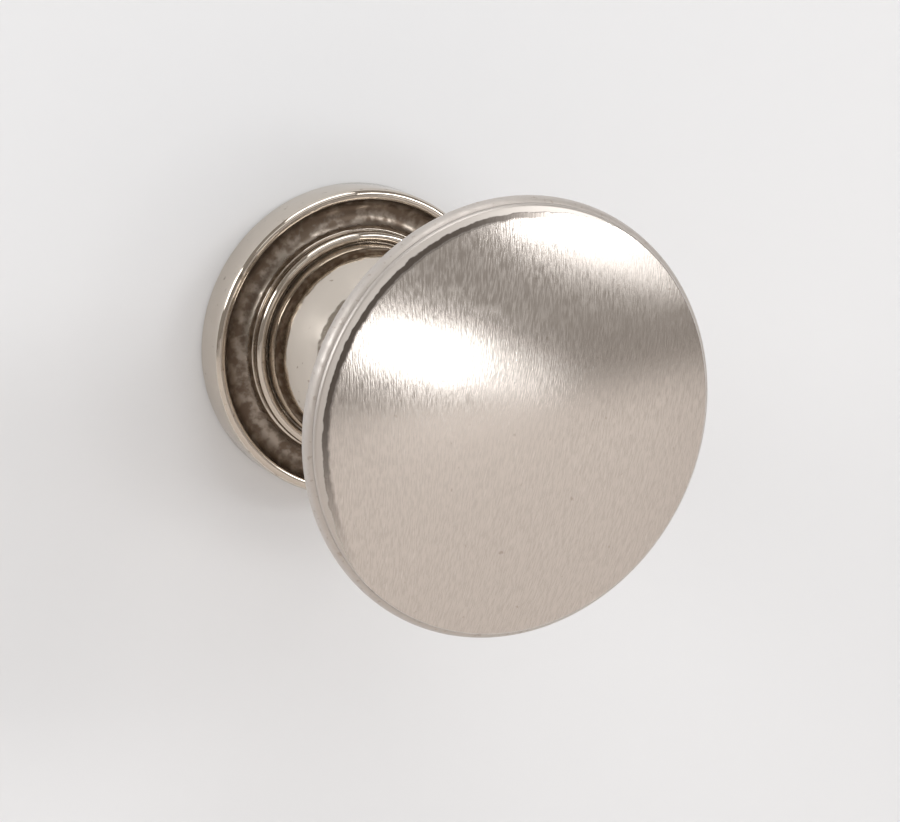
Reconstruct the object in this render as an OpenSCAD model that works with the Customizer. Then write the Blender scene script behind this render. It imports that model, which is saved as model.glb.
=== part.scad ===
// Cupboard door knob: a brushed domed head on a bulbous neck, standing on a dished rose,
// with the screw and washers that fix it through the door.
// The origin is the centre of the rose's back, on the face of the door.
// The knob stands out along -Y and the screw comes in from +Y.

/* [Head] */
// Diameter of the head at its rim
head_d = 35; // [30:0.5:42]
// Height of the rim's widest line above the door
rim_h = 30; // [27:0.5:36]
// Radius of the rounded rim
rim_edge_r = 0.8; // [0.6:0.05:1]
// Depth of the head's back edge below the rim's widest line
rim_back = 0.7; // [0.5:0.05:0.9]
// Width of the rim's edge left showing round the face cap
rim_show = 0.4; // [0.3:0.05:0.5]
// Rise of the dome's middle above the rim's widest line
dome_rise = 3.9; // [2.8:0.1:5]
// Height of the dome's edge above the rim's widest line
dome_edge = 0.95; // [0.8:0.05:1.2]
// Width of the bevel on the edge of the face cap
bevel_w = 0.6; // [0.4:0.05:1]
// Drop of the bevel from the dome's edge to the cap's side
bevel_h = 0.45; // [0.3:0.05:0.7]
// Wall of the face cap
cap_t = 1; // [0.7:0.05:1.3]
// Height of the cap's seat above the rim's widest line
cap_seat = 0.1; // [0:0.02:0.2]
// Width of the ledge that carries the cap
ledge_w = 1.2; // [0.8:0.1:2]
// Wall of the head cup
cup_wall = 1; // [0.7:0.05:1.3]

/* [Neck] */
// Greatest diameter of the bulb
bulb_d = 17.2; // [15:0.1:18]
// Radius of the bulb's section
bulb_round = 11; // [8:0.5:14]
// Height of the bulb's widest line above the door
bulb_h = 4; // [3.8:0.1:5]
// Diameter of the waist between bulb and head
waist_d = 10; // [8:0.5:12]
// Diameter of the shoulder that carries the head cup
cup_seat_d = 14; // [13:0.5:16]
// Diameter of the front spigot, an M6 thread
spigot_d = 6; // [5:0.5:6]
// Length of the front spigot
spigot_len = 5.2; // [5:0.1:6]
// Diameter of the foot that turns in the rose
foot_d = 10; // [9:0.1:11]
// Gap left between the end of the foot and the door
foot_gap = 0.4; // [0.2:0.05:0.6]

/* [Rose] */
// Diameter of the rose
rose_d = 26; // [24:0.5:30]
// Height of the rose's raised rim
rose_h = 3.4; // [3:0.1:4]
// Radius of the raised rim's rounding
rose_edge_r = 0.5; // [0.4:0.05:0.7]
// Height of the flat that carries the collar
rose_seat_h = 3; // [2.8:0.05:3.6]
// Depth of the dished channel below that flat
dish_depth = 0.9; // [0.7:0.05:1.1]
// Flat left between the collar and the channel
dish_land = 0.1; // [0.05:0.05:0.3]
// How far the channel reaches under the raised rim's rounding
dish_under = 0.4; // [0.3:0.02:0.5]
// Diameter of the hollow in the rose's back
recess_d = 18; // [16:0.5:19]
// Depth of the hollow in the rose's back
recess_depth = 1.7; // [1.6:0.05:1.9]
// Bevel on the rose's back edge
back_bevel = 0.3; // [0.1:0.05:0.5]

/* [Collar and clip] */
// Thickness of the collar where the neck stands on it
collar_t = 0.45; // [0.4:0.05:0.6]
// Radius of the collar's bead, which stands round the bulb
collar_edge_r = 0.45; // [0.35:0.01:0.5]
// Outer diameter of the spring clip
clip_d = 13.6; // [12:0.2:15]
// Thickness of the spring clip
clip_t = 0.6; // [0.5:0.05:0.7]
// Opening in the spring clip
clip_gap = 3.2; // [2:0.1:5]
// Depth of the clip's groove in the foot
groove_depth = 0.5; // [0.3:0.05:0.7]

/* [Fixing] */
// Thickness of the door
door_t = 18; // [15:0.5:22]
// Outer diameter of the screw's thread, M4
screw_d = 3.9; // [3.8:0.02:3.96]
// Length of the screw under its head
screw_len = 30; // [28:0.5:32]
// Diameter of the screw's head
screw_head_d = 8; // [7:0.1:9]
// Height of the screw's head
screw_head_h = 2.8; // [2.2:0.1:3.2]
// Radius of the crown of the screw's head
screw_crown_r = 5; // [4.6:0.1:7]
// Depth of the cross recess
cross_depth = 1.7; // [1.2:0.1:2]
// Span of the cross recess
cross_span = 4.4; // [3.6:0.1:5]
// Width of the cross recess's arms
cross_w = 0.9; // [0.7:0.05:1.1]
// Diameter of the plain washer
washer_d = 9; // [8:0.1:11]
// Thickness of the plain washer
washer_t = 0.8; // [0.6:0.05:1]
// Diameter of the spring washer
spring_washer_d = 7.6; // [7:0.1:8]
// Thickness of the spring washer
spring_washer_t = 0.9; // [0.7:0.05:1]
// Slit in the spring washer
slit_w = 0.7; // [0.4:0.05:1]
// Diameter of the threaded insert
insert_d = 6; // [5.5:0.1:6.5]
// Length of the threaded insert
insert_len = 10; // [8:0.5:10]
// Depth of the drilled hole beyond the insert
hole_spare = 3; // [2:0.5:4]

/* [Head fastening] */
// Width across the flats of the head nut
nut_af = 10; // [9:0.1:10]
// Thickness of the head nut
nut_t = 3.2; // [2.5:0.1:3.4]
// Outer diameter of the toothed washer
tooth_washer_d = 11; // [10:0.1:11.5]
// Thickness of the toothed washer
tooth_washer_t = 0.7; // [0.5:0.05:0.8]
// Teeth round the toothed washer
teeth = 12; // [8:1:16]
// Length of the teeth
tooth_len = 1; // [0.6:0.1:1.2]

/* [Fits] */
// Radial clearance of parts that turn in one another
turn_clear = 0.05; // [0.03:0.01:0.08]
// End play of the turning neck
end_play = 0.04; // [0.02:0.01:0.1]
// Radial clearance of washers and nuts over their threads
loose_clear = 0.15; // [0.1:0.05:0.3]

/* [Hidden] */
$fn = 96;
over = 1;
lap = 0.1;
head_r = head_d / 2;
rim_r = head_r - rim_edge_r;
rim_inner_r = head_r - rim_show;
cap_seat_z = rim_h + cap_seat;
cap_r = rim_inner_r - turn_clear;
cavity_r = cap_r - ledge_w;
// The dome is one sphere through the cap's edge.
dome_top = rim_h + dome_rise;
dome_h = dome_rise - dome_edge;
dome_r = (cap_r ^ 2 + dome_h ^ 2) / (2 * dome_h);
dome_centre = dome_top - dome_r;
bevel_z = rim_h + dome_edge - bevel_h;
bevel_r = cap_r - bevel_w;
bevel_top = dome_centre + sqrt(dome_r ^ 2 - bevel_r ^ 2);
// The neck's flare is one arc, tangent to the bulb's arc and level with the head's back edge.
bulb_x = bulb_d / 2 - bulb_round;
waist_r = waist_d / 2;
flare_top = rim_h - rim_back;
flare_rise = flare_top - bulb_h;
flare_in = waist_r - bulb_x;
flare_sum = flare_rise + bulb_round - flare_in;
flare_r = flare_sum - sqrt(flare_sum ^ 2 - flare_in ^ 2 - flare_rise ^ 2 + bulb_round ^ 2);
flare_x = waist_r + flare_r;
flare_z = flare_top - flare_r;
join_z = bulb_h + (flare_z - bulb_h) * bulb_round / (bulb_round + flare_r);
cup_seat_z = flare_z + sqrt(flare_r ^ 2 - (flare_x - cup_seat_d / 2) ^ 2);
spigot_r = spigot_d / 2;
foot_r = foot_d / 2;
rose_r = rose_d / 2;
collar_r = bulb_d / 2 + turn_clear + 2 * collar_edge_r;
neck_foot_z = rose_seat_h + collar_t + end_play;
// The channel's section is one arc between the collar's flat and the raised rim.
bead_x = rose_r - rose_edge_r;
bead_z = rose_h - rose_edge_r;
dish_in = collar_r + dish_land;
dish_out = bead_x - dish_under;
dish_half = (dish_out - dish_in) / 2;
dish_r = (dish_half ^ 2 + dish_depth ^ 2) / (2 * dish_depth);
dish_x = (dish_in + dish_out) / 2;
dish_z = rose_seat_h - dish_depth + dish_r;
clip_z = recess_depth - end_play - clip_t - end_play;
groove_r = foot_r - groove_depth;
washer_z = -door_t;
spring_washer_z = washer_z - washer_t;
screw_seat_z = spring_washer_z - spring_washer_t;
screw_tip_z = screw_seat_z + screw_len;
screw_r = screw_d / 2;
thread_bore_r = screw_r + turn_clear;
insert_r = insert_d / 2;
insert_top = foot_gap + insert_len;
cup_floor_z = cup_seat_z + cup_wall;
nut_z = cup_floor_z + tooth_washer_t;

nickel_brushed = [0.74, 0.70, 0.66];
nickel_satin = [0.80, 0.77, 0.74];
nickel_polished = [0.66, 0.60, 0.53];
zinc = [0.72, 0.74, 0.76];
spring_steel = [0.32, 0.32, 0.34];
brass = [0.78, 0.64, 0.34];

// Turns a part from its own height axis to the knob's axis, out from the door.
module turned() {
    rotate([90, 0, 0]) children();
}

// A round part from a half section drawn with radius along x and height along y.
module revolve() {
    turned() rotate_extrude() children();
}

// A rectangle of a half section, between two radii and two heights.
module band(r_in, r_out, z_low, z_high) {
    translate([r_in, z_low]) square([r_out - r_in, z_high - z_low]);
}

// A flat ring standing on height z.
module ring(r_in, r_out, z, t) {
    revolve() band(r_in, r_out, z, z + t);
}

// What the flare leaves free: its arc, grown by a wall, and all beyond the arc's middle.
module flare_space(wall = 0) {
    translate([flare_x, flare_z]) circle(r = flare_r + wall);
    band(flare_x, head_d, 0, flare_top + wall);
}

module rose_section() {
    difference() {
        union() {
            band(foot_r + turn_clear, dish_x, 0, rose_seat_h);
            band(dish_x, rose_r - back_bevel, 0, back_bevel);
            band(dish_x, rose_r, back_bevel, bead_z);
            band(dish_x, bead_x, bead_z, rose_seat_h);
            translate([bead_x, bead_z]) circle(r = rose_edge_r);
        }
        translate([dish_x, dish_z]) circle(r = dish_r);
        band(0, recess_d / 2, -over, recess_depth);
    }
}

module rose() {
    color(nickel_polished) revolve() rose_section();
}

module neck_collar() {
    color(nickel_polished) revolve() {
        band(foot_r + turn_clear, collar_r - collar_edge_r, rose_seat_h, rose_seat_h + collar_t);
        translate([collar_r - collar_edge_r, rose_seat_h + collar_edge_r]) circle(r = collar_edge_r);
    }
}

module neck_section() {
    intersection() {
        union() {
            translate([bulb_x, bulb_h]) circle(r = bulb_round);
            band(0, waist_r, neck_foot_z, join_z);
        }
        band(0, bulb_d, neck_foot_z, bulb_h + bulb_round);
    }
    difference() {
        band(0, head_r, join_z, cup_seat_z);
        flare_space();
    }
    band(0, spigot_r, bulb_h, cup_seat_z + spigot_len);
    band(0, foot_r, foot_gap, bulb_h);
}

module neck() {
    color(nickel_polished) revolve() difference() {
        neck_section();
        band(0, insert_r, -over, insert_top);
        band(0, thread_bore_r + loose_clear, insert_top - over, insert_top + hole_spare);
        band(groove_r, foot_d, clip_z - end_play, clip_z + clip_t + end_play);
    }
}

module retaining_clip() {
    color(spring_steel) difference() {
        ring(groove_r, clip_d / 2, clip_z, clip_t);
        turned() translate([-clip_gap / 2, 0, clip_z - over]) cube([clip_gap, clip_d, clip_t + 2 * over]);
    }
}

module threaded_insert() {
    color(brass) ring(thread_bore_r, insert_r, foot_gap, insert_len);
}

module head_cup_section() {
    difference() {
        union() {
            difference() {
                band(spigot_r + turn_clear, rim_r, cup_seat_z, cap_seat_z + lap);
                flare_space();
            }
            intersection() {
                translate([rim_r, rim_h]) circle(r = rim_edge_r);
                band(rim_r - lap, head_r, rim_h - rim_edge_r, rim_h + rim_edge_r);
            }
        }
        band(0, rim_inner_r, cap_seat_z, rim_h + dome_edge);
        difference() {
            band(0, cavity_r, cup_floor_z, cap_seat_z + over);
            flare_space(cup_wall);
        }
    }
}

module head_cup() {
    color(nickel_satin) revolve() head_cup_section();
}

// The teeth start inside the ring, where their sides have sunk into it.
module toothed_washer() {
    ring_r = tooth_washer_d / 2 - tooth_len;
    tooth_w = PI * ring_r / teeth;
    root_r = ring_r - tooth_w / 4;
    color(spring_steel) {
        ring(spigot_r + loose_clear, ring_r, cup_floor_z, tooth_washer_t);
        turned() for (i = [0 : teeth - 1]) rotate(i * 360 / teeth)
            translate([root_r, -tooth_w / 2, cup_floor_z])
                cube([tooth_washer_d / 2 - root_r, tooth_w, tooth_washer_t]);
    }
}

module head_nut() {
    color(zinc) turned() translate([0, 0, nut_z]) difference() {
        cylinder(d = nut_af / cos(30), h = nut_t, $fn = 6);
        translate([0, 0, -over]) cylinder(r = spigot_r + turn_clear, h = nut_t + 2 * over);
    }
}

module face_cap_section() {
    difference() {
        intersection() {
            translate([0, dome_centre]) circle(r = dome_r, $fn = 360);
            band(0, cap_r, cap_seat_z, dome_top + over);
        }
        translate([0, dome_centre]) circle(r = dome_r - cap_t, $fn = 360);
        polygon([
            [cap_r, bevel_z],
            [cap_r + over, bevel_z],
            [cap_r + over, dome_top],
            [bevel_r - bevel_w, 2 * bevel_top - bevel_z]
        ]);
    }
}

module face_cap() {
    color(nickel_brushed) revolve() face_cap_section();
}

module plain_washer() {
    color(zinc) ring(screw_r + loose_clear, washer_d / 2, washer_z - washer_t, washer_t);
}

module spring_washer() {
    color(spring_steel) difference() {
        ring(screw_r + loose_clear, spring_washer_d / 2, screw_seat_z, spring_washer_t);
        turned() translate([0, -slit_w / 2, screw_seat_z - over])
            cube([spring_washer_d, slit_w, spring_washer_t + 2 * over]);
    }
}

// A pan head: a short cylinder under a spherical crown.
module screw_head_section() {
    intersection() {
        band(0, screw_head_d / 2, screw_seat_z - screw_head_h, screw_seat_z);
        translate([0, screw_seat_z - screw_head_h + screw_crown_r]) circle(r = screw_crown_r);
    }
}

module fixing_screw() {
    cross_z = screw_seat_z - screw_head_h + cross_depth - screw_head_h;
    color(zinc) difference() {
        revolve() {
            screw_head_section();
            band(0, screw_r, screw_seat_z - over, screw_tip_z);
        }
        turned() for (a = [0, 90]) rotate(a)
            translate([-cross_span / 2, -cross_w / 2, cross_z]) cube([cross_span, cross_w, screw_head_h]);
    }
}

rose();
neck_collar();
neck();
retaining_clip();
threaded_insert();
head_cup();
toothed_washer();
head_nut();
face_cap();
plain_washer();
spring_washer();
fixing_screw();
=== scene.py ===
import math

import bpy
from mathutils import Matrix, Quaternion, Vector


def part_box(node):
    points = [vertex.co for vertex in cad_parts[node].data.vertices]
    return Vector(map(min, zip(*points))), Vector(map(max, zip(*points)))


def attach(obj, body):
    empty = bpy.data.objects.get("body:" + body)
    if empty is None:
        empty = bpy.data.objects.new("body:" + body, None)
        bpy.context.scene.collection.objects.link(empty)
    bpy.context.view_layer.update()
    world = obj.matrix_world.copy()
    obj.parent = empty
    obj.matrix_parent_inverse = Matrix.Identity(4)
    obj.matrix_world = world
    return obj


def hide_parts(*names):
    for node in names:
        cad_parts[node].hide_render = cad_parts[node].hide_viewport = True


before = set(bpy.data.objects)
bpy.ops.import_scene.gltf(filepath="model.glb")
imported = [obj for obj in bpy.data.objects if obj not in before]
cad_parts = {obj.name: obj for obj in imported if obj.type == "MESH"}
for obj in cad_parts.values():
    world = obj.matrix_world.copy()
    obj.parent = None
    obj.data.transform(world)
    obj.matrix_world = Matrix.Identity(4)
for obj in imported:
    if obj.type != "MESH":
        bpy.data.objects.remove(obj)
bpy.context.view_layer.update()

# Lengths are millimetres on the knob's own axis: a radius, and a height out from the door.
MM = 0.001
TURN_STEPS = 192
SMALL_STEPS = 96
THREAD_STEPS = 48
MERGE = 0.0000005
SMOOTH_ANGLE = math.radians(32)


def size_of(node):
    """Outer radius, lowest height and highest height of a turned node, in mm."""
    low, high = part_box(node)
    return max(high.x, high.z) / MM, -high.y / MM, -low.y / MM


ROSE_R, ROSE_BACK, ROSE_TOP = size_of("rose")
COLLAR_R, COLLAR_FOOT, COLLAR_TOP = size_of("neck_collar")
CLIP_R, CLIP_FOOT, CLIP_TOP = size_of("retaining_clip")
INSERT_R, INSERT_FOOT, INSERT_TOP = size_of("threaded_insert")
_, NECK_FOOT, NECK_TOP = size_of("neck")
HEAD_R, CUP_FOOT, RIM_TOP = size_of("head_cup")
CAP_R, CAP_FOOT, DOME_TOP = size_of("face_cap")
TOOTH_R, TOOTH_FOOT, TOOTH_TOP = size_of("toothed_washer")
NUT_R, NUT_FOOT, NUT_TOP = size_of("head_nut")
WASHER_R, WASHER_FOOT, WASHER_TOP = size_of("plain_washer")
SPRING_R, SPRING_FOOT, SPRING_TOP = size_of("spring_washer")
SCREW_R, SCREW_FOOT, SCREW_TIP = size_of("fixing_screw")

# Sizes inside those boxes, as the knob's drawing gives them.
CAP_CLEAR = 0.05
BORE_R = 5.05
FOOT_R = 5.0
BACK_BEVEL = 0.3
BEAD_R = 0.5
DISH_LAND = 0.1
DISH_UNDER = 0.4
DISH_DEPTH = 0.9
SEAT_H = COLLAR_FOOT
RECESS_R = 9.0
RECESS_DEPTH = 1.7
COLLAR_EDGE = 0.45
COLLAR_T = 0.45
END_PLAY = 0.04
BULB_R = COLLAR_R - 2 * COLLAR_EDGE - CAP_CLEAR
BULB_ROUND = 11.0
BULB_H = 4.0
WAIST_R = 5.0
SHOULDER_R = 7.0
SPIGOT_R = 3.0
GROOVE_R = 4.5
HOLE_R = 2.15
HOLE_SPARE = 3.0
DRILL_TIP = 1.2
RIM_EDGE = 0.8
RIM_BACK = 0.7
CUP_WALL = 1.0
CAP_T = 1.0
RIM_SHOW = 0.4
DOME_EDGE = 0.95
CAP_SHOULDER = 0.35
CAP_SEAM = 0.01
CLIP_GAP = 3.2
BORE_THREAD_R = 2.0
SHANK_R = 1.95
THREAD_PITCH = 0.7
THREAD_DEPTH = 0.35
THREAD_LEAD = 0.3
INSERT_GROOVE = 0.35
INSERT_GROOVE_W = 0.5
NUT_BORE_R = 3.05
NUT_PITCH = 1.0
NUT_THREAD = 0.4
NUT_CHAMFER = 0.45
TOOTH_BORE_R = 3.15
TOOTH_LEN = 1.0
TEETH = 12
TOOTH_SHEET = 0.35
TOOTH_W = 0.9
TOOTH_ROOT = 0.3
TOOTH_TWIST = math.radians(21)
WASHER_BORE_R = 2.1
SLIT_W = 0.7
SCREW_SEAT = SPRING_FOOT
SCREW_CROWN_R = 5.0
SCREW_PLAIN = 2.0
THREAD_LAP = 0.3
CROSS_DEPTH = 1.7
CROSS_SPAN = 4.4
CROSS_W = 0.9

RIM_H = RIM_TOP - math.sqrt(RIM_EDGE ** 2 - (RIM_EDGE - RIM_SHOW) ** 2)
RIM_R = HEAD_R - RIM_EDGE
BULB_X = BULB_R - BULB_ROUND
NECK_SEAT = SEAT_H + COLLAR_T + END_PLAY
FLARE_TOP = RIM_H - RIM_BACK
FLARE_RISE = FLARE_TOP - BULB_H
FLARE_IN = WAIST_R - BULB_X
FLARE_SUM = FLARE_RISE + BULB_ROUND - FLARE_IN
FLARE_R = FLARE_SUM - math.sqrt(FLARE_SUM ** 2 - FLARE_IN ** 2 - FLARE_RISE ** 2 + BULB_ROUND ** 2)
FLARE_X = WAIST_R + FLARE_R
FLARE_Z = FLARE_TOP - FLARE_R


# ---- Modelling helpers ----

def arc(x, z, r, start, end, steps):
    """Points along an arc of a half section, with angles in degrees from the radius direction."""
    angles = [math.radians(start + (end - start) * i / steps) for i in range(steps + 1)]
    return [(x + r * math.cos(a), z + r * math.sin(a)) for a in angles]


def angle_at(x, z, point_x, point_z):
    """The direction of a point from an arc's centre, in degrees."""
    return math.degrees(math.atan2(point_z - z, point_x - x))


def in_place(point):
    """A point of the half section as a place: the radius runs along +X and the height along -Y."""
    return Vector((point[0] * MM, -point[1] * MM, 0))


def pick(piece):
    """Makes one piece the only one selected."""
    bpy.ops.object.select_all(action="DESELECT")
    piece.select_set(True)
    bpy.context.view_layer.objects.active = piece


def edit(piece):
    """Opens one piece in edit mode with everything on it selected."""
    pick(piece)
    bpy.ops.object.mode_set(mode="EDIT")
    bpy.ops.mesh.select_mode(type="VERT")
    bpy.ops.mesh.select_all(action="SELECT")


def close_up():
    """Merges the seam and the poles of a spun piece, points its faces outwards and leaves edit mode."""
    bpy.ops.mesh.select_all(action="SELECT")
    bpy.ops.mesh.remove_doubles(threshold=MERGE)
    bpy.ops.mesh.normals_make_consistent(inside=False)
    bpy.ops.object.mode_set(mode="OBJECT")


def smooth(piece):
    pick(piece)
    bpy.ops.object.shade_smooth_by_angle(angle=SMOOTH_ANGLE)


def apply_modifier(piece, kind, **settings):
    """Adds one modifier with its settings and applies it."""
    pick(piece)
    modifier = piece.modifiers.new(kind.lower(), kind)
    for key, value in settings.items():
        setattr(modifier, key, value)
    bpy.ops.object.modifier_apply(modifier=modifier.name)


def soften(piece, width, segments=2):
    """Breaks the sharp edges with a small rounded bevel."""
    apply_modifier(piece, "BEVEL", width=width * MM, segments=segments, limit_method="ANGLE",
                   angle_limit=math.radians(30), use_clamp_overlap=True)


def draw_points(name, points):
    """Draws a line by extruding one point along it, and leaves it selected in edit mode."""
    bpy.ops.object.select_all(action="DESELECT")
    bpy.ops.mesh.primitive_plane_add(size=MM, location=(0, 0, 0))
    piece = bpy.context.object
    piece.name = name
    piece.data.name = name
    edit(piece)
    bpy.ops.mesh.merge(type="CENTER")
    bpy.ops.mesh.select_all(action="SELECT")
    here = points[0]
    bpy.ops.transform.translate(value=here)
    for there in points[1:]:
        bpy.ops.mesh.extrude_vertices_move(TRANSFORM_OT_translate={"value": there - here})
        here = there
    bpy.ops.mesh.select_all(action="SELECT")
    return piece


def draw_outline(name, outline):
    """Draws a half section given as radii and heights."""
    return draw_points(name, [in_place(point) for point in outline])


def turn(name, outline, steps=TURN_STEPS, bevel=0.0):
    """Turns a half section round the knob's axis into one closed piece."""
    piece = draw_outline(name, outline)
    bpy.ops.mesh.spin(steps=steps, angle=math.tau, center=(0, 0, 0), axis=(0, 1, 0))
    close_up()
    if bevel:
        soften(piece, bevel)
    smooth(piece)
    return piece


def closed(outline):
    """A half section that ends where it starts."""
    return outline + outline[:1]


def bar(r, foot, top):
    """The half section of a plain round bar."""
    return [(0, foot), (r, foot), (r, top), (0, top)]


def thread_rings(r, depth, pitch, foot, top):
    """A thread drawn as rings up a half section, from its foot to its top."""
    count = math.floor((top - foot) / pitch)
    pitch = (top - foot) / count
    rings = [(r, foot)]
    for i in range(count):
        rings += [(r - depth, foot + (i + 0.5) * pitch), (r, foot + (i + 1) * pitch)]
    return rings


def box(name, low, high):
    """A block between two corners, given as (x, height, z) in mm."""
    centre = [(a + b) / 2 for a, b in zip(low, high)]
    size = [(b - a) * MM for a, b in zip(low, high)]
    bpy.ops.object.select_all(action="DESELECT")
    bpy.ops.mesh.primitive_cube_add(size=1, location=(0, 0, 0))
    piece = bpy.context.object
    piece.name = name
    edit(piece)
    bpy.ops.transform.resize(value=size)
    bpy.ops.transform.translate(value=(centre[0] * MM, -centre[1] * MM, centre[2] * MM))
    bpy.ops.object.mode_set(mode="OBJECT")
    return piece


def combine(piece, other, operation):
    """Cuts, joins or trims a piece with another one, which is used up."""
    apply_modifier(piece, "BOOLEAN", object=other, operation=operation, solver="EXACT")
    bpy.data.objects.remove(other)
    smooth(piece)


def wind_thread(name, crest_r, depth, pitch, foot, top):
    """A threaded rod: one turn's outline wound up the axis and cut flat at both ends."""
    start = foot - 2 * pitch
    turns = math.ceil((top - start) / pitch) + 2
    root_r = crest_r - depth
    piece = draw_outline(name, [
        (root_r, start), (root_r, start + 0.15 * pitch), (crest_r, start + 0.5 * pitch),
        (crest_r, start + 0.65 * pitch), (root_r, start + pitch),
    ])
    bpy.ops.object.mode_set(mode="OBJECT")
    apply_modifier(piece, "SCREW", axis="Y", angle=-math.tau, screw_offset=-pitch * MM,
                   iterations=turns, steps=THREAD_STEPS, render_steps=THREAD_STEPS)
    edit(piece)
    bpy.ops.mesh.remove_doubles(threshold=MERGE)
    for height, side in ((foot, "clear_inner"), (top, "clear_outer")):
        bpy.ops.mesh.bisect(plane_co=(0, -height * MM, 0), plane_no=(0, -1, 0), threshold=MERGE,
                            **{side: True})
        bpy.ops.mesh.select_all(action="SELECT")
    bpy.ops.mesh.remove_doubles(threshold=MERGE)
    bpy.ops.mesh.fill_holes(sides=0)
    close_up()
    return piece


# ---- The pieces ----

def make_rose():
    bead_x, bead_z = ROSE_R - BEAD_R, ROSE_TOP - BEAD_R
    dish_in = COLLAR_R + DISH_LAND
    dish_out = bead_x - DISH_UNDER
    half = (dish_out - dish_in) / 2
    dish_r = (half ** 2 + DISH_DEPTH ** 2) / (2 * DISH_DEPTH)
    dish_x = (dish_in + dish_out) / 2
    dish_z = SEAT_H - DISH_DEPTH + dish_r
    # The dish's arc ends where its circle meets the circle of the rim's bead.
    gap_x, gap_z = bead_x - dish_x, bead_z - dish_z
    gap = math.hypot(gap_x, gap_z)
    along = (dish_r ** 2 - BEAD_R ** 2 + gap ** 2) / (2 * gap)
    across = math.sqrt(dish_r ** 2 - along ** 2)
    cross_x = dish_x + (gap_x * along - gap_z * across) / gap
    cross_z = dish_z + (gap_z * along + gap_x * across) / gap
    outline = [
        (BORE_R, RECESS_DEPTH), (RECESS_R, RECESS_DEPTH), (RECESS_R, ROSE_BACK),
        (ROSE_R - BACK_BEVEL, ROSE_BACK), (ROSE_R, ROSE_BACK + BACK_BEVEL),
    ]
    outline += arc(bead_x, bead_z, BEAD_R, 0, angle_at(bead_x, bead_z, cross_x, cross_z), 20)
    dish_end = angle_at(dish_x, dish_z, dish_in, SEAT_H) % 360 - 360
    outline += arc(dish_x, dish_z, dish_r, angle_at(dish_x, dish_z, cross_x, cross_z), dish_end, 22)
    outline += [(BORE_R, SEAT_H)]
    return turn("rose_dished", closed(outline), bevel=0.05)


def make_collar():
    edge_x, edge_z = COLLAR_R - COLLAR_EDGE, COLLAR_FOOT + COLLAR_EDGE
    top = COLLAR_FOOT + COLLAR_T
    lip = math.degrees(math.asin((top - edge_z) / COLLAR_EDGE))
    outline = [(BORE_R, COLLAR_FOOT)]
    outline += arc(edge_x, edge_z, COLLAR_EDGE, -90, 180 - lip, 24)
    outline += [(BORE_R, top)]
    return turn("collar_ring", closed(outline))


def make_neck():
    groove_low, groove_high = CLIP_FOOT - END_PLAY, CLIP_TOP + END_PLAY
    seat_angle = -math.degrees(math.asin((BULB_H - NECK_SEAT) / BULB_ROUND))
    join_angle = angle_at(BULB_X, BULB_H, FLARE_X, FLARE_Z)
    shoulder_angle = 180 - math.degrees(math.acos((FLARE_X - SHOULDER_R) / FLARE_R))
    outline = [
        (0, INSERT_TOP + HOLE_SPARE + DRILL_TIP), (HOLE_R, INSERT_TOP + HOLE_SPARE),
        (HOLE_R, INSERT_TOP), (INSERT_R, INSERT_TOP), (INSERT_R, NECK_FOOT),
        (FOOT_R, NECK_FOOT), (FOOT_R, groove_low), (GROOVE_R, groove_low),
        (GROOVE_R, groove_high), (FOOT_R, groove_high), (FOOT_R, NECK_SEAT),
    ]
    outline += arc(BULB_X, BULB_H, BULB_ROUND, seat_angle, join_angle, 40)
    outline += arc(FLARE_X, FLARE_Z, FLARE_R, join_angle + 180, shoulder_angle, 40)[1:]
    outline += [(SPIGOT_R, CUP_FOOT)]
    outline += thread_rings(SPIGOT_R, NUT_THREAD, NUT_PITCH, CUP_FOOT + NUT_THREAD, NECK_TOP - NUT_THREAD)
    outline += [(SPIGOT_R - NUT_THREAD, NECK_TOP), (0, NECK_TOP)]
    return turn("neck_turned", outline, bevel=0.04)


def make_cup():
    rim_inner = CAP_R + CAP_SEAM
    floor = CUP_FOOT + CUP_WALL
    wall_r = FLARE_R + CUP_WALL
    shoulder_angle = 180 - math.degrees(math.acos((FLARE_X - SHOULDER_R) / FLARE_R))
    edge_angle = 180 - math.degrees(math.acos((FLARE_X - RIM_R) / FLARE_R))
    ledge_x = FLARE_X - math.sqrt(wall_r ** 2 - (CAP_FOOT - FLARE_Z) ** 2)
    floor_x = FLARE_X - math.sqrt(wall_r ** 2 - (floor - FLARE_Z) ** 2)
    outline = [(SPIGOT_R + CAP_CLEAR, CUP_FOOT)]
    outline += arc(FLARE_X, FLARE_Z, FLARE_R, shoulder_angle, edge_angle, 36)
    show_angle = math.degrees(math.acos((rim_inner - RIM_R) / RIM_EDGE))
    outline += arc(RIM_R, RIM_H, RIM_EDGE, -90, show_angle, 24)[1:]
    outline += [(rim_inner, CAP_FOOT)]
    outline += arc(FLARE_X, FLARE_Z, wall_r, angle_at(FLARE_X, FLARE_Z, ledge_x, CAP_FOOT),
                   angle_at(FLARE_X, FLARE_Z, floor_x, floor), 24)
    outline += [(SPIGOT_R + CAP_CLEAR, floor)]
    return turn("head_cup_shell", closed(outline))


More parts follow.
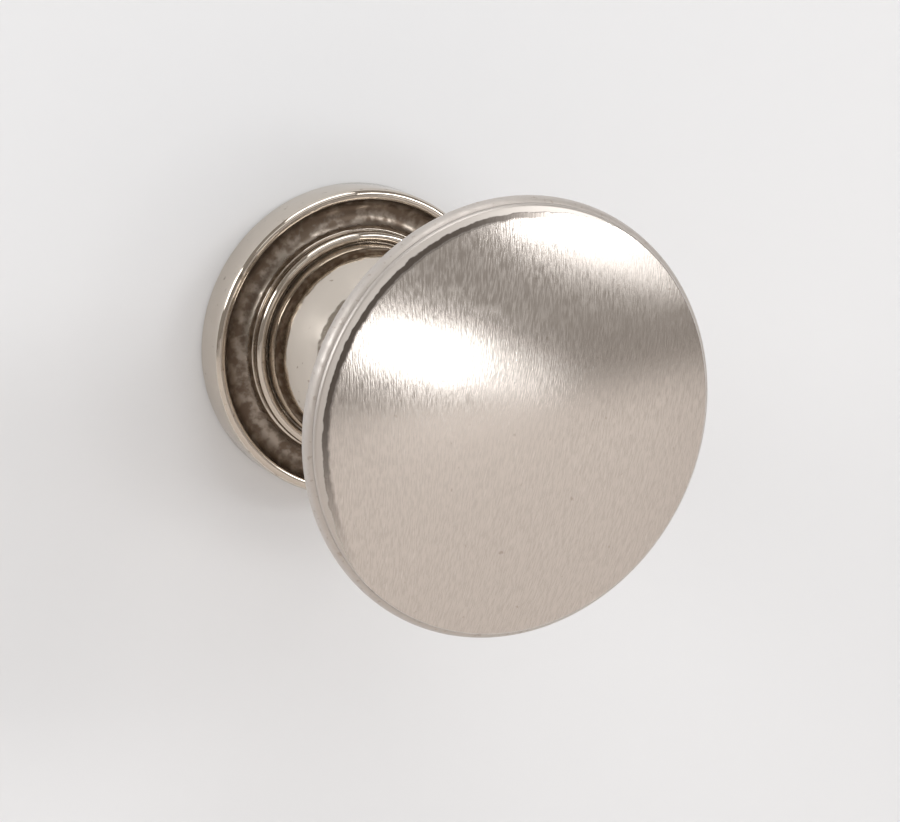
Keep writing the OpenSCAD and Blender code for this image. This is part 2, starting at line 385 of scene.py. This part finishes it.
def make_cap():
    edge_h = RIM_H + DOME_EDGE
    rise = DOME_TOP - edge_h
    dome_r = (CAP_R ** 2 + rise ** 2) / (2 * rise)
    dome_z = DOME_TOP - dome_r
    round_x = CAP_R - CAP_SHOULDER
    round_z = dome_z + math.sqrt((dome_r - CAP_SHOULDER) ** 2 - round_x ** 2)
    round_top = angle_at(0, dome_z, round_x, round_z)
    under_r = dome_r - CAP_T
    under_x = math.sqrt(under_r ** 2 - (CAP_FOOT - dome_z) ** 2)
    outline = arc(0, dome_z, dome_r, 90, round_top, 60)
    outline += arc(round_x, round_z, CAP_SHOULDER, round_top, 0, 16)[1:]
    outline += [(CAP_R, CAP_FOOT)]
    outline += arc(0, dome_z, under_r, angle_at(0, dome_z, under_x, CAP_FOOT), 90, 30)
    outline[0] = (0, outline[0][1])
    outline[-1] = (0, outline[-1][1])
    return turn("face_dome", outline)


def make_clip():
    piece = turn("clip_ring", closed([
        (GROOVE_R, CLIP_FOOT), (CLIP_R, CLIP_FOOT), (CLIP_R, CLIP_TOP), (GROOVE_R, CLIP_TOP),
    ]), steps=SMALL_STEPS)
    combine(piece, box("clip_opening", (-CLIP_GAP / 2, CLIP_FOOT - 1, 0),
                       (CLIP_GAP / 2, CLIP_TOP + 1, 2 * CLIP_R)), "DIFFERENCE")
    soften(piece, 0.12, segments=3)
    smooth(piece)
    return piece


def make_insert():
    lead_r, outer_r = BORE_THREAD_R + THREAD_LEAD, INSERT_R - THREAD_LEAD
    foot, top = INSERT_FOOT + THREAD_LEAD, INSERT_TOP - THREAD_LEAD
    root_r = INSERT_R - INSERT_GROOVE
    outline = [(lead_r, INSERT_FOOT), (outer_r, INSERT_FOOT), (INSERT_R, foot)]
    for i in range(1, 4):
        height = INSERT_FOOT + i * (INSERT_TOP - INSERT_FOOT) / 4
        outline += [
            (INSERT_R, height - INSERT_GROOVE_W), (root_r, height - INSERT_GROOVE_W / 2),
            (root_r, height + INSERT_GROOVE_W / 2), (INSERT_R, height + INSERT_GROOVE_W),
        ]
    outline += [(INSERT_R, top), (outer_r, INSERT_TOP), (lead_r, INSERT_TOP)]
    outline += thread_rings(BORE_THREAD_R + THREAD_DEPTH, THREAD_DEPTH, THREAD_PITCH, foot, top)[::-1]
    return turn("insert_grooved", closed(outline), steps=SMALL_STEPS)


def make_toothed_washer():
    ring_r = TOOTH_R - TOOTH_LEN
    middle = (TOOTH_FOOT + TOOTH_TOP) / 2
    foot, top = middle - TOOTH_SHEET / 2, middle + TOOTH_SHEET / 2
    piece = turn("toothed_washer_ring", closed([
        (TOOTH_BORE_R, foot), (ring_r, foot), (ring_r, top), (TOOTH_BORE_R, top),
    ]), steps=SMALL_STEPS)
    # Each tooth is a little thinner than the sheet and starts inside the ring, so the two join cleanly.
    tooth = box("tooth", (ring_r - TOOTH_ROOT, foot + 0.01, -TOOTH_W / 2),
                (TOOTH_R - 0.03, top - 0.01, TOOTH_W / 2))
    for corner in tooth.data.vertices:
        corner.select = corner.co.x > ring_r * MM
    for part in list(tooth.data.edges) + list(tooth.data.polygons):
        part.select = all(tooth.data.vertices[i].select for i in part.vertices)
    bpy.ops.object.mode_set(mode="EDIT")
    bpy.ops.transform.rotate(value=TOOTH_TWIST, orient_axis="X", center_override=(0, -middle * MM, 0))
    bpy.ops.mesh.select_all(action="SELECT")
    bpy.ops.mesh.spin(steps=TEETH - 1, angle=math.tau * (TEETH - 1) / TEETH, dupli=True,
                      center=(0, 0, 0), axis=(0, 1, 0))
    bpy.ops.object.mode_set(mode="OBJECT")
    combine(piece, tooth, "UNION")
    return piece


def make_nut():
    inset_r = NUT_R * math.cos(math.radians(30)) - 0.25
    past_foot, past_top = NUT_FOOT - 0.1, NUT_TOP + 0.1
    piece = turn("head_nut_hexagon", bar(NUT_R, NUT_FOOT, NUT_TOP), steps=6)
    trim = turn("nut_chamfer", [
        (0, past_foot), (inset_r, past_foot), (NUT_R + 0.2, NUT_FOOT + NUT_CHAMFER),
        (NUT_R + 0.2, NUT_TOP - NUT_CHAMFER), (inset_r, past_top), (0, past_top),
    ], steps=SMALL_STEPS)
    combine(piece, trim, "INTERSECT")
    root_r = NUT_BORE_R + NUT_THREAD
    outline = [(0, past_foot), (root_r + 0.1, past_foot)]
    outline += thread_rings(root_r, NUT_THREAD, NUT_PITCH, NUT_FOOT, NUT_TOP)
    outline += [(root_r + 0.1, past_top), (0, past_top)]
    combine(piece, turn("nut_bore", outline, steps=SMALL_STEPS), "DIFFERENCE")
    return piece


def make_plain_washer():
    return turn("washer_plain", closed([
        (WASHER_BORE_R, WASHER_FOOT), (WASHER_R, WASHER_FOOT),
        (WASHER_R, WASHER_TOP), (WASHER_BORE_R, WASHER_TOP),
    ]), steps=SMALL_STEPS, bevel=0.12)


def make_spring_washer():
    piece = turn("washer_sprung", closed([
        (WASHER_BORE_R, SPRING_FOOT), (SPRING_R, SPRING_FOOT),
        (SPRING_R, SPRING_TOP), (WASHER_BORE_R, SPRING_TOP),
    ]), steps=SMALL_STEPS)
    slit = box("washer_slit", (0, SPRING_FOOT - 1, -SLIT_W / 2),
               (2 * SPRING_R, SPRING_TOP + 1, SLIT_W / 2))
    combine(piece, slit, "DIFFERENCE")
    soften(piece, 0.08)
    smooth(piece)
    return piece


def cross_cutter():
    """A straight-sided cross that sinks the driver's recess into the screw's head."""
    span, half = CROSS_SPAN / 2, CROSS_W / 2
    corners = [
        (span, half), (half, half), (half, span), (-half, span), (-half, half), (-span, half),
        (-span, -half), (-half, -half), (-half, -span), (half, -span), (half, -half), (span, -half),
    ]
    floor = SCREW_FOOT + CROSS_DEPTH
    cutter = draw_points("cross_cutter", [Vector((x, -floor, z)) * MM for x, z in closed(corners)])
    bpy.ops.mesh.remove_doubles(threshold=MERGE)
    bpy.ops.mesh.edge_face_add()
    bpy.ops.mesh.extrude_region_move(TRANSFORM_OT_translate={"value": (0, (CROSS_DEPTH + 1) * MM, 0)})
    close_up()
    return cutter


def make_screw():
    shank_top, neck_r = SCREW_SEAT + SCREW_PLAIN, SHANK_R - 0.1
    crown_z = SCREW_FOOT + SCREW_CROWN_R
    crown_edge = angle_at(0, crown_z, SCREW_R, crown_z - math.sqrt(SCREW_CROWN_R ** 2 - SCREW_R ** 2))
    outline = arc(0, crown_z, SCREW_CROWN_R, -90, crown_edge, 16)
    outline[0] = (0, SCREW_FOOT)
    outline += [
        (SCREW_R, SCREW_SEAT), (SHANK_R + 0.1, SCREW_SEAT), (neck_r, SCREW_SEAT + 0.3),
        (neck_r, shank_top), (0, shank_top),
    ]
    piece = turn("screw_pan_head", outline, steps=SMALL_STEPS, bevel=0.05)
    combine(piece, cross_cutter(), "DIFFERENCE")
    # The thread starts inside the plain shank, so head and thread hold together.
    rod = wind_thread("screw_thread", SHANK_R, THREAD_DEPTH, THREAD_PITCH,
                      shank_top - THREAD_LAP, SCREW_TIP)
    smooth(rod)
    pick(piece)
    rod.select_set(True)
    bpy.ops.object.join()
    return piece


# ---- Materials ----

def new_material(name, colour, roughness, metallic=1.0):
    """A named material with its shader's constants set on the shader itself."""
    material = bpy.data.materials.new(name)
    material.use_nodes = True
    shader = material.node_tree.nodes["Principled BSDF"]
    shader.inputs["Base Color"].default_value = (*colour, 1)
    shader.inputs["Roughness"].default_value = roughness
    shader.inputs["Metallic"].default_value = metallic
    return material, shader


def feed(tree, socket, value):
    """Gives a socket a value: another node's output, or a plain number or colour."""
    if isinstance(value, bpy.types.NodeSocket):
        tree.links.new(value, socket)
    else:
        socket.default_value = value


def calc(tree, operation, first, second=0.0, clamp=False):
    node = tree.nodes.new("ShaderNodeMath")
    node.operation = operation
    node.use_clamp = clamp
    feed(tree, node.inputs[0], first)
    feed(tree, node.inputs[1], second)
    return node.outputs[0]


def ramp(tree, value, low, high, start=0.0, end=1.0):
    """Maps a value smoothly from the span low to high onto the span start to end."""
    node = tree.nodes.new("ShaderNodeMapRange")
    node.interpolation_type = "SMOOTHSTEP"
    for socket, number in zip(node.inputs, (value, low, high, start, end)):
        feed(tree, socket, number)
    return node.outputs[0]


def places(tree):
    """The place on the knob in mm: across, height from the door, and up."""
    source = tree.nodes.new("ShaderNodeTexCoord")
    split = tree.nodes.new("ShaderNodeSeparateXYZ")
    tree.links.new(source.outputs["Object"], split.inputs[0])
    x = calc(tree, "MULTIPLY", split.outputs[0], 1 / MM)
    height = calc(tree, "MULTIPLY", split.outputs[1], -1 / MM)
    z = calc(tree, "MULTIPLY", split.outputs[2], 1 / MM)
    return x, height, z


def length(tree, first, second):
    """The long side of a right-angled triangle."""
    squares = [calc(tree, "MULTIPLY", side, side) for side in (first, second)]
    return calc(tree, "SQRT", calc(tree, "ADD", *squares))


def noise(tree, x, y, z, detail=2.0, scale=1.0):
    """Noise at a place given in the noise's own cells."""
    join = tree.nodes.new("ShaderNodeCombineXYZ")
    for socket, value in zip(join.inputs, (x, y, z)):
        feed(tree, socket, value)
    node = tree.nodes.new("ShaderNodeTexNoise")
    node.inputs["Detail"].default_value = detail
    feed(tree, node.inputs["Scale"], scale)
    tree.links.new(join.outputs[0], node.inputs["Vector"])
    return node.outputs[0]


def new_group(name, settings, results):
    """A node group with named number inputs and outputs."""
    group = bpy.data.node_groups.new(name, "ShaderNodeTree")
    for socket, default in settings.items():
        given = group.interface.new_socket(socket, in_out="INPUT", socket_type="NodeSocketFloat")
        given.default_value = default
    for socket in results:
        group.interface.new_socket(socket, in_out="OUTPUT", socket_type="NodeSocketFloat")
    return group, group.nodes.new("NodeGroupInput"), group.nodes.new("NodeGroupOutput")


def brush_marks():
    """Short near-vertical strokes on the dome, upright at the left and leaning to the right, and stray
    scratches that carry painted glints.
    """
    tree, given, result = new_group("brush marks", {"Lean": 0.22}, ("Height", "Scratch glint"))
    x, _, z = places(tree)
    lean = calc(tree, "MULTIPLY", given.outputs["Lean"], ramp(tree, x, -14.0, 0.0))
    across = calc(tree, "SUBTRACT", x, calc(tree, "MULTIPLY", lean, z))
    fine = noise(tree, calc(tree, "MULTIPLY", across, 10.0), 0.0, calc(tree, "MULTIPLY", z, 1.2), 2.0)
    broad = noise(tree, calc(tree, "MULTIPLY", across, 3.0), 7.0, calc(tree, "MULTIPLY", z, 0.5), 2.0)
    stray = noise(tree, calc(tree, "MULTIPLY", across, 7.0), 19.0, calc(tree, "MULTIPLY", z, 0.8), 1.0)
    tree.links.new(calc(tree, "ADD", fine, calc(tree, "MULTIPLY", broad, 0.35)), result.inputs["Height"])
    tree.links.new(ramp(tree, stray, 0.64, 0.72), result.inputs["Scratch glint"])
    return tree


def specks():
    """Small spots and pits, more of them as the amount rises."""
    tree, given, result = new_group("specks", {"Scale": 2.0, "Amount": 0.3}, ("Mask",))
    x, height, z = places(tree)
    spots = noise(tree, x, height, z, 3.0, given.outputs["Scale"])
    edge = calc(tree, "SUBTRACT", 0.85, calc(tree, "MULTIPLY", given.outputs["Amount"], 0.5))
    tree.links.new(ramp(tree, spots, edge, calc(tree, "ADD", edge, 0.06)), result.inputs["Mask"])
    return tree


def ripples():
    """Slow waves of a hand-polished or cast surface."""
    tree, given, result = new_group("ripples", {"Scale": 0.3}, ("Height",))
    x, height, z = places(tree)
    tree.links.new(noise(tree, x, height, z, 2.0, given.outputs["Scale"]), result.inputs["Height"])
    return tree


def turning_marks():
    """Fine rings left by the lathe."""
    tree, given, result = new_group("turning marks", {"Scale": 9.0}, ("Height",))
    x, height, z = places(tree)
    rings = noise(tree, length(tree, x, z), height, 0.0, 2.0, given.outputs["Scale"])
    tree.links.new(rings, result.inputs["Height"])
    return tree


def crease_shade():
    """Painted shade round one ring, given by its radius, its height and how far it spreads: a patchy
    darkening of a crease or hollow.
    """
    settings = {"Radius": 10.0, "Height": 3.0, "Reach": 1.0}
    tree, given, result = new_group("crease shade", settings, ("Mask",))
    x, height, z = places(tree)
    away = calc(tree, "SUBTRACT", length(tree, x, z), given.outputs["Radius"])
    above = calc(tree, "SUBTRACT", height, given.outputs["Height"])
    gap = length(tree, away, above)
    near = ramp(tree, calc(tree, "DIVIDE", gap, given.outputs["Reach"]), 0.35, 1.0, 1.0, 0.0)
    patchy = ramp(tree, noise(tree, x, height, z, 3.0, 1.1), 0.35, 0.62, 0.6, 1.0)
    tree.links.new(calc(tree, "MULTIPLY", near, patchy), result.inputs["Mask"])
    return tree


def brushed_edge():
    """Where the brushing stops short of the rim: an uneven line, furthest in at the upper left, and a
    painted shade line just inside it.
    """
    tree, given, result = new_group("brushed edge", {"Inner": 16.4, "Outer": 17.2}, ("Band", "Line"))
    x, height, z = places(tree)
    radius = length(tree, x, z)
    towards = calc(tree, "ADD", calc(tree, "MULTIPLY", x, -0.72), calc(tree, "MULTIPLY", z, 0.69))
    towards = calc(tree, "DIVIDE", towards, radius)
    uneven = calc(tree, "MULTIPLY", noise(tree, x, height, z, 4.0, 1.3), 0.35)
    limit = ramp(tree, towards, -0.15, 0.65, given.outputs["Outer"], given.outputs["Inner"])
    beyond = calc(tree, "SUBTRACT", radius, calc(tree, "ADD", calc(tree, "SUBTRACT", limit, 0.17), uneven))
    tree.links.new(ramp(tree, beyond, -0.04, 0.04), result.inputs["Band"])
    # Painted shade: a thin dark line in the rim's crease, strongest towards the upper left.
    inside = ramp(tree, beyond, -0.6, -0.3)
    line = calc(tree, "MULTIPLY", inside, ramp(tree, beyond, -0.02, 0.08, 1.0, 0.0))
    tree.links.new(calc(tree, "MULTIPLY", line, ramp(tree, towards, 0.1, 0.95)), result.inputs["Line"])
    return tree


BRUSH_MARKS, SPECKS, RIPPLES, TURNING_MARKS, CREASE_SHADE, BRUSHED_EDGE = (
    brush_marks(), specks(), ripples(), turning_marks(), crease_shade(), brushed_edge())


def shared(tree, group, result, **settings):
    """One output of a shared node group, used with its own settings."""
    node = tree.nodes.new("ShaderNodeGroup")
    node.node_tree = group
    for name, value in settings.items():
        feed(tree, node.inputs[name], value)
    return node.outputs[result]


def blend(tree, mask, first, second):
    """The second colour laid over the first where the mask is white."""
    node = tree.nodes.new("ShaderNodeMix")
    node.data_type = "RGBA"
    for socket, value in ((node.inputs[0], mask), (node.inputs[6], first), (node.inputs[7], second)):
        feed(tree, socket, (*value, 1) if isinstance(value, tuple) else value)
    return node.outputs[2]


def raise_by(tree, shader, height, depth):
    """Raises the surface by a height, at most as far as the depth in mm."""
    node = tree.nodes.new("ShaderNodeBump")
    node.inputs["Strength"].default_value = 1.0
    node.inputs["Distance"].default_value = depth * MM
    feed(tree, node.inputs["Height"], height)
    tree.links.new(node.outputs[0], shader.inputs["Normal"])


BRUSHED_METAL = (0.70, 0.655, 0.605)
STROKE_LIGHT = (0.74, 0.69, 0.65)
STROKE_DARK = (0.56, 0.515, 0.475)
SCRATCH_GLINT = (0.95, 0.93, 0.91)
SPOT_BROWN = (0.40, 0.34, 0.29)
EDGE_SHADE_LINE = (0.07, 0.055, 0.045)
SATIN_METAL = (0.63, 0.59, 0.555)
SATIN_SPOT = (0.46, 0.39, 0.34)
POLISHED_METAL = (0.66, 0.60, 0.53)
POLISHED_SPOT = (0.25, 0.19, 0.145)
SHADE_BROWN = (0.17, 0.13, 0.10)


def brushed_nickel():
    material, shader = new_material("brushed_nickel", BRUSHED_METAL, 0.18)
    tree = material.node_tree
    strokes = shared(tree, BRUSH_MARKS, "Height")
    scratch_glint = shared(tree, BRUSH_MARKS, "Scratch glint")
    spots = shared(tree, SPECKS, "Mask", Scale=1.6, Amount=0.30)
    band = shared(tree, BRUSHED_EDGE, "Band")
    line = shared(tree, BRUSHED_EDGE, "Line")
    colour = blend(tree, ramp(tree, strokes, 0.58, 0.78, 0.0, 0.45), STROKE_LIGHT, STROKE_DARK)
    # Stray scratches lightened towards near-white: real scratches with painted glints on them.
    colour = blend(tree, calc(tree, "MULTIPLY", scratch_glint, 0.28), colour, SCRATCH_GLINT)
    colour = blend(tree, calc(tree, "MULTIPLY", spots, 0.5), colour, SPOT_BROWN)
    colour = blend(tree, band, colour, SATIN_METAL)
    # Painted shade: the dark line in the rim's crease at the upper left.
    colour = blend(tree, calc(tree, "MULTIPLY", line, 0.95), colour, EDGE_SHADE_LINE)
    feed(tree, shader.inputs["Base Color"], colour)
    rough = ramp(tree, strokes, 0.55, 0.8, 0.14, 0.24)
    rough = calc(tree, "MAXIMUM", rough, calc(tree, "MULTIPLY", calc(tree, "MAXIMUM", band, line), 0.42))
    feed(tree, shader.inputs["Roughness"], rough)
    flat = calc(tree, "SUBTRACT", 1.0, band)
    raise_by(tree, shader, calc(tree, "MULTIPLY", strokes, flat), 0.011)
    return material


def satin_nickel():
    material, shader = new_material("satin_nickel", SATIN_METAL, 0.5)
    tree = material.node_tree
    spots = shared(tree, SPECKS, "Mask", Scale=2.4, Amount=0.45)
    grain = shared(tree, RIPPLES, "Height", Scale=1.6)
    colour = blend(tree, calc(tree, "MULTIPLY", spots, 0.55), SATIN_METAL, SATIN_SPOT)
    feed(tree, shader.inputs["Base Color"], colour)
    feed(tree, shader.inputs["Roughness"], ramp(tree, grain, 0.3, 0.7, 0.44, 0.56))
    raise_by(tree, shader, grain, 0.03)
    return material


def polished_nickel(name, shade_rings):
    """Polished nickel with painted shade round the rings given as (radius, height, reach) and strength,
    darkened towards brown and rougher.
    """
    material, shader = new_material(name, POLISHED_METAL, 0.08)
    tree = material.node_tree
    waves = shared(tree, RIPPLES, "Height", Scale=0.45)
    rings = shared(tree, TURNING_MARKS, "Height", Scale=5.0)
    spots = shared(tree, SPECKS, "Mask", Scale=1.7, Amount=0.36)
    colour = blend(tree, calc(tree, "MULTIPLY", spots, 0.6), POLISHED_METAL, POLISHED_SPOT)
    spots_and_shade = calc(tree, "MULTIPLY", spots, 0.4)
    for radius, height, reach, strength in shade_rings:
        mask = shared(tree, CREASE_SHADE, "Mask", Radius=radius, Height=height, Reach=reach)
        mask = calc(tree, "MULTIPLY", mask, strength)
        # Painted shade: the crease or hollow is darkened towards brown.
        colour = blend(tree, mask, colour, SHADE_BROWN)
        spots_and_shade = calc(tree, "MAXIMUM", spots_and_shade, mask)
    feed(tree, shader.inputs["Base Color"], colour)
    feed(tree, shader.inputs["Roughness"], ramp(tree, spots_and_shade, 0.0, 1.0, 0.08, 0.45))
    raise_by(tree, shader, calc(tree, "ADD", waves, calc(tree, "MULTIPLY", rings, 0.015)), 0.05)
    return material


def plated(name, metal, dull, roughness, depth=0.01):
    """A plain plated or blued metal with cloudy patches, lathe rings and a few spots."""
    material, shader = new_material(name, metal, roughness)
    tree = material.node_tree
    clouds = shared(tree, RIPPLES, "Height", Scale=1.2)
    rings = shared(tree, TURNING_MARKS, "Height", Scale=6.0)
    spots = shared(tree, SPECKS, "Mask", Scale=2.2, Amount=0.34)
    colour = blend(tree, ramp(tree, clouds, 0.35, 0.65), metal, dull)
    colour = blend(tree, calc(tree, "MULTIPLY", spots, 0.5), colour, tuple(0.4 * c for c in metal))
    feed(tree, shader.inputs["Base Color"], colour)
    feed(tree, shader.inputs["Roughness"], ramp(tree, clouds, 0.3, 0.7, roughness - 0.05, roughness + 0.1))
    raise_by(tree, shader, rings, depth)
    return material


def wear(piece, material):
    piece.data.materials.clear()
    piece.data.materials.append(material)


# ---- Stage, lights and camera ----

VIEW_AZIMUTH = math.radians(-26.7)
VIEW_ELEVATION = math.radians(15.0)
LENS = 160
SENSOR = 36
CAMERA_DISTANCE = 308
CAMERA_RIGHT = -4.57
CAMERA_UP = 0.60
UNDER_ROSE = 0.5
DOOR_PAINT = (0.83, 0.83, 0.835)
FLOOR_PAINT = (0.66, 0.60, 0.55)


def direction(azimuth, elevation):
    """The way from the knob towards a place seen at that azimuth and elevation, in radians."""
    flat = math.cos(elevation)
    return Vector((math.sin(azimuth) * flat, -math.cos(azimuth) * flat, math.sin(elevation)))


def add_camera():
    back = direction(VIEW_AZIMUTH, VIEW_ELEVATION)
    right = Vector((math.cos(VIEW_AZIMUTH), math.sin(VIEW_AZIMUTH), 0))
    up = back.cross(right)
    data = bpy.data.cameras.new("camera")
    data.lens = LENS
    data.sensor_width = SENSOR
    data.clip_start = 0.01
    data.clip_end = 10
    camera = bpy.data.objects.new("camera", data)
    bpy.context.scene.collection.objects.link(camera)
    rim_centre = Vector((0, -RIM_H, 0))
    place = rim_centre + CAMERA_DISTANCE * back + CAMERA_RIGHT * right + CAMERA_UP * up
    camera.location = place * MM
    camera.rotation_mode = "QUATERNION"
    camera.rotation_quaternion = back.to_track_quat("Z", "Y")
    bpy.context.scene.camera = camera


def soft_box(name, azimuth, elevation, distance, width, height, strength, roll=0.0,
             shape="RECTANGLE"):
    """A soft light facing the head, in degrees and mm; strength is how bright its face looks."""
    data = bpy.data.lights.new(name, "AREA")
    data.shape = shape
    data.size = width * MM
    data.size_y = height * MM
    data.energy = strength * math.pi * data.size * data.size_y
    lamp = bpy.data.objects.new(name, data)
    bpy.context.scene.collection.objects.link(lamp)
    away = direction(math.radians(azimuth), math.radians(elevation))
    lamp.location = Vector((0, -RIM_H * MM, 0)) + away * distance * MM
    lamp.rotation_mode = "QUATERNION"
    lamp.rotation_quaternion = away.to_track_quat("Z", "Y") @ Quaternion((0, 0, 1), math.radians(roll))
    lamp.visible_camera = False


def stage_plane(name, corners, colour, roughness):
    """A flat pale surface of the set, from its four corners in mm."""
    mesh = bpy.data.meshes.new(name)
    mesh.from_pydata([Vector(c) * MM for c in corners], [], [(0, 1, 2, 3)])
    plane = bpy.data.objects.new(name, mesh)
    bpy.context.scene.collection.objects.link(plane)
    material, shader = new_material(name, colour, roughness, metallic=0)
    plane.data.materials.append(material)
    return material, shader


def add_stage():
    wide, high, floor, deep = 900, 900, -150, 1200
    material, shader = stage_plane(
        "door_face_stage",
        [(-wide, 0, floor), (wide, 0, floor), (wide, 0, high), (-wide, 0, high)],
        DOOR_PAINT, 0.6)
    nodes, links = material.node_tree.nodes, material.node_tree.links
    # The door is left clear from behind, and under the rose, where it would darken the rose's back.
    side = nodes.new("ShaderNodeNewGeometry")
    clear = nodes.new("ShaderNodeBsdfTransparent")
    mix = nodes.new("ShaderNodeMixShader")
    tree = material.node_tree
    x, _, z = places(tree)
    covered = calc(tree, "LESS_THAN", length(tree, x, z), ROSE_R - UNDER_ROSE)
    links.new(calc(tree, "MAXIMUM", covered, side.outputs["Backfacing"]), mix.inputs[0])
    links.new(shader.outputs[0], mix.inputs[1])
    links.new(clear.outputs[0], mix.inputs[2])
    links.new(mix.outputs[0], nodes["Material Output"].inputs["Surface"])
    stage_plane(
        "floor_stage",
        [(-wide, -deep, floor), (wide, -deep, floor), (wide, deep, floor), (-wide, deep, floor)],
        FLOOR_PAINT, 0.7)


def add_world():
    world = bpy.data.worlds.new("studio")
    bpy.context.scene.world = world
    world.use_nodes = True
    nodes, links = world.node_tree.nodes, world.node_tree.links
    seen = nodes.new("ShaderNodeBackground")
    seen.inputs["Color"].default_value = (0.86, 0.86, 0.87, 1)
    room = nodes["Background"]
    room.inputs["Color"].default_value = (0.30, 0.275, 0.25, 1)
    fill = nodes.new("ShaderNodeBackground")
    fill.inputs["Color"].default_value = (0.55, 0.565, 0.585, 1)
    path = nodes.new("ShaderNodeLightPath")
    around, mix = nodes.new("ShaderNodeMixShader"), nodes.new("ShaderNodeMixShader")
    links.new(path.outputs["Is Diffuse Ray"], around.inputs[0])
    links.new(room.outputs[0], around.inputs[1])
    links.new(fill.outputs[0], around.inputs[2])
    links.new(path.outputs["Is Camera Ray"], mix.inputs[0])
    links.new(around.outputs[0], mix.inputs[1])
    links.new(seen.outputs[0], mix.inputs[2])
    links.new(mix.outputs[0], nodes["World Output"].inputs["Surface"])


add_camera()
add_world()
add_stage()
soft_box("window_left", 3, 2, 900, 360, 115, 5.0, roll=-20)
soft_box("window_left_haze", 19, -3, 900, 400, 130, 1.1, roll=-25)
soft_box("window_right", 43, 21, 900, 440, 190, 5.0, roll=-18)
soft_box("window_right_haze", 52, 12, 900, 470, 200, 1.2, roll=-25)
soft_box("ceiling", 2, 32, 900, 700, 220, 0.7)
soft_box("window_top", 10, 66, 800, 500, 400, 2.4)
soft_box("window_side", -74, 25, 700, 300, 280, 4.2, shape="ELLIPSE")

DISH_MIDDLE = (COLLAR_R + ROSE_R) / 2
# Painted shade: the rose's dish, the collar's foot and the bulb's foot are darkened brown.
rose_metal = polished_nickel("polished_nickel_rose", [
    (DISH_MIDDLE - 0.6, SEAT_H - 0.7 * DISH_DEPTH, 1.3, 1.0),
    (DISH_MIDDLE + 0.5, SEAT_H - 0.7 * DISH_DEPTH, 1.2, 1.0)])
collar_metal = polished_nickel("polished_nickel_collar", [(COLLAR_R, SEAT_H, 0.5, 0.8)])
neck_metal = polished_nickel("polished_nickel_neck", [(BULB_R, COLLAR_TOP, 0.6, 0.8)])
brass = plated("turned_brass", (0.80, 0.62, 0.30), (0.62, 0.44, 0.20), 0.26)
zinc = plated("bright_zinc", (0.74, 0.76, 0.79), (0.60, 0.62, 0.66), 0.26)
dark_spring = plated("dark_spring_steel", (0.20, 0.20, 0.21), (0.13, 0.13, 0.14), 0.36)
blued_spring = plated("blued_spring_steel", (0.13, 0.14, 0.20), (0.09, 0.09, 0.13), 0.30)
phosphated_spring = plated("phosphated_spring_steel", (0.115, 0.115, 0.12), (0.08, 0.08, 0.08), 0.52,
                           depth=0.02)

PIECES = [
    (make_rose, "rose", "rose_body", "rose_nickel", rose_metal),
    (make_collar, "neck_collar", "rose_body", "collar_nickel", collar_metal),
    (make_neck, "neck", "knob", "neck_nickel", neck_metal),
    (make_cup, "head_cup", "knob", "rim_nickel", satin_nickel()),
    (make_cap, "face_cap", "knob", "face_nickel", brushed_nickel()),
    (make_clip, "retaining_clip", "knob", "clip_steel", phosphated_spring),
    (make_insert, "threaded_insert", "knob", "insert_brass", brass),
    (make_toothed_washer, "toothed_washer", "knob", "tooth_washer_steel", blued_spring),
    (make_nut, "head_nut", "knob", "nut_zinc", zinc),
    (make_plain_washer, "plain_washer", "washers", "washer_zinc", zinc),
    (make_spring_washer, "spring_washer", "washers", "spring_washer_steel", dark_spring),
    (make_screw, "fixing_screw", "screw", "screw_zinc", zinc),
]
for make, node, body, slot, material in PIECES:
    piece = make()
    wear(piece, material)
    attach(piece, body)
    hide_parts(node)

bpy.context.scene.view_settings.view_transform = "Standard"
